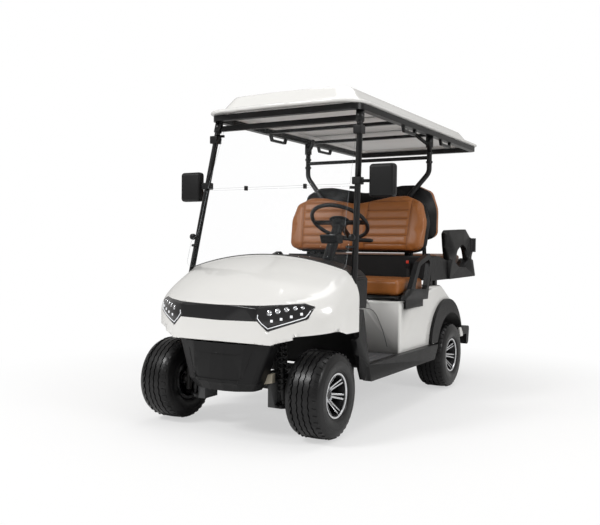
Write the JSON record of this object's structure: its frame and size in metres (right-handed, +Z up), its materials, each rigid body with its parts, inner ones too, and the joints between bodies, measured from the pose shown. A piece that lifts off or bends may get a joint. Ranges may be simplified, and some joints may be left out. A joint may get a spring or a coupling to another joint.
{
  "type": "four-seat electric golf cart with a flip rear seat",
  "caption": "White golf cart with a roof, folding clear windshield, brown bucket-backed benches back to back, a flip rear seat, alloy wheels and side mirrors.",
  "frame": {"origin": "centre of the cart's bounding box at ground level", "axes": "+X towards the cart's left side, -Y towards its front, +Z up"},
  "size_m": [1.434, 2.78, 1.8813],
  "materials": {
    "tyre_rubber": "matte",
    "alloy": "satin",
    "black_steel": "satin",
    "grey_steel": "satin",
    "axle_iron": "matte",
    "spring_steel": "satin",
    "battery_case": "matte",
    "white_body": "gloss",
    "black_plastic": "matte",
    "grey_mat": "matte",
    "brown_hide": "satin",
    "board": "matte",
    "clear_pane": "gloss",
    "lamp_lens": "gloss",
    "red_lens": "gloss",
    "mirror_face": "gloss",
    "brass_yellow": "satin"
  },
  "bodies": {
    "body": {"chassis_frame": "grey_steel", "front_arms": "black_steel", "front_coil_shocks": "black_steel", "steering_rack": "axle_iron", "rear_axle": "axle_iron", "leaf_springs": "spring_steel", "battery_pack": "battery_case", "floor_panel": "black_steel", "floor_mat": "grey_mat", "side_sills": "black_plastic", "front_body": "white_body", "grille_band": "black_plastic", "headlights": "lamp_lens", "front_valance": "black_plastic", "dashboard": "black_plastic", "steering_column": "black_plastic", "pedals": "black_steel", "rear_body": "white_body", "rear_flares": "black_plastic", "rear_footboard": "black_plastic", "tail_lamps": "red_lens", "front_backrest_cushion": "brown_hide", "rear_backrest_cushion": "brown_hide", "backrest_shells": "black_plastic", "rear_seat_base": "black_steel", "hip_restraints": "black_plastic", "rear_armrests": "black_plastic", "front_struts": "black_steel", "windshield_upper": "clear_pane", "windshield_lower": "clear_pane", "rear_struts": "black_steel", "roof_frame": "black_steel", "roof_shell": "white_body", "mirrors": "black_plastic", "mirror_glasses": "mirror_face", "grab_handles": "black_plastic"},
    "knuckle_left": {"knuckle_left": "axle_iron"},
    "knuckle_right": {"knuckle_right": "axle_iron"},
    "tie_left": {"tie_rod_left": "brass_yellow"},
    "tie_right": {"tie_rod_right": "brass_yellow"},
    "wheel_fl": {"tyre_front_left": "tyre_rubber", "wheel_front_left": "alloy"},
    "wheel_fr": {"tyre_front_right": "tyre_rubber", "wheel_front_right": "alloy"},
    "wheel_rl": {"tyre_rear_left": "tyre_rubber", "wheel_rear_left": "alloy"},
    "wheel_rr": {"tyre_rear_right": "tyre_rubber", "wheel_rear_right": "alloy"},
    "steering_wheel": {"steering_wheel": "black_plastic"},
    "front_seat": {"front_seat_board": "board", "front_seat_cushion": "brown_hide"},
    "rear_seat": {"rear_seat_board": "board", "rear_seat_cushion": "brown_hide"}
  },
  "joints": [
    {"name": "steer_left", "type": "hinge", "parent": "body", "child": "knuckle_left", "pos_m": [0.385, -1.11, 0.2285], "axis": [0, 0, 1], "range_deg": [-30, 30]},
    {"name": "steer_right", "type": "hinge", "parent": "body", "child": "knuckle_right", "pos_m": [-0.385, -1.11, 0.2285], "axis": [0, 0, 1], "range_deg": [-30, 30]},
    {"name": "tie_left_pivot", "type": "hinge", "parent": "knuckle_left", "child": "tie_left", "pos_m": [0.36, -1.035, 0.212], "axis": [0, 0, 1], "range_deg": [-30, 30]},
    {"name": "tie_right_pivot", "type": "hinge", "parent": "knuckle_right", "child": "tie_right", "pos_m": [-0.36, -1.035, 0.212], "axis": [0, 0, 1], "range_deg": [-30, 30]},
    {"name": "steering_wheel_turn", "type": "hinge", "parent": "body", "child": "steering_wheel", "pos_m": [0.215, -0.43, 1.13], "axis": [0, 0.5446, 0.8387], "range_deg": [-360, 360]},
    {"name": "spin_front_left", "type": "hinge", "parent": "knuckle_left", "child": "wheel_fl", "pos_m": [0.467, -1.11, 0.2285], "axis": [1, 0, 0], "continuous": true},
    {"name": "spin_front_right", "type": "hinge", "parent": "knuckle_right", "child": "wheel_fr", "pos_m": [-0.467, -1.11, 0.2285], "axis": [1, 0, 0], "continuous": true},
    {"name": "spin_rear_left", "type": "hinge", "parent": "body", "child": "wheel_rl", "pos_m": [0.475, 0.63, 0.2285], "axis": [1, 0, 0], "continuous": true},
    {"name": "spin_rear_right", "type": "hinge", "parent": "body", "child": "wheel_rr", "pos_m": [-0.475, 0.63, 0.2285], "axis": [1, 0, 0], "continuous": true},
    {"name": "front_seat_lid", "type": "hinge", "parent": "body", "child": "front_seat", "pos_m": [0, -0.258, 0.651], "axis": [1, 0, 0], "range_deg": [0, 60]},
    {"name": "rear_seat_flip", "type": "hinge", "parent": "body", "child": "rear_seat", "pos_m": [0, 1.146, 0.792], "axis": [-1, 0, 0], "range_deg": [0, 180]}
  ],
  "couplings": [
    {"joint": "steer_right", "follows": "steer_left", "ratio": 1},
    {"joint": "tie_left_pivot", "follows": "steer_left", "ratio": -1},
    {"joint": "tie_right_pivot", "follows": "steer_left", "ratio": -1},
    {"joint": "steering_wheel_turn", "follows": "steer_left", "ratio": 12}
  ]
}
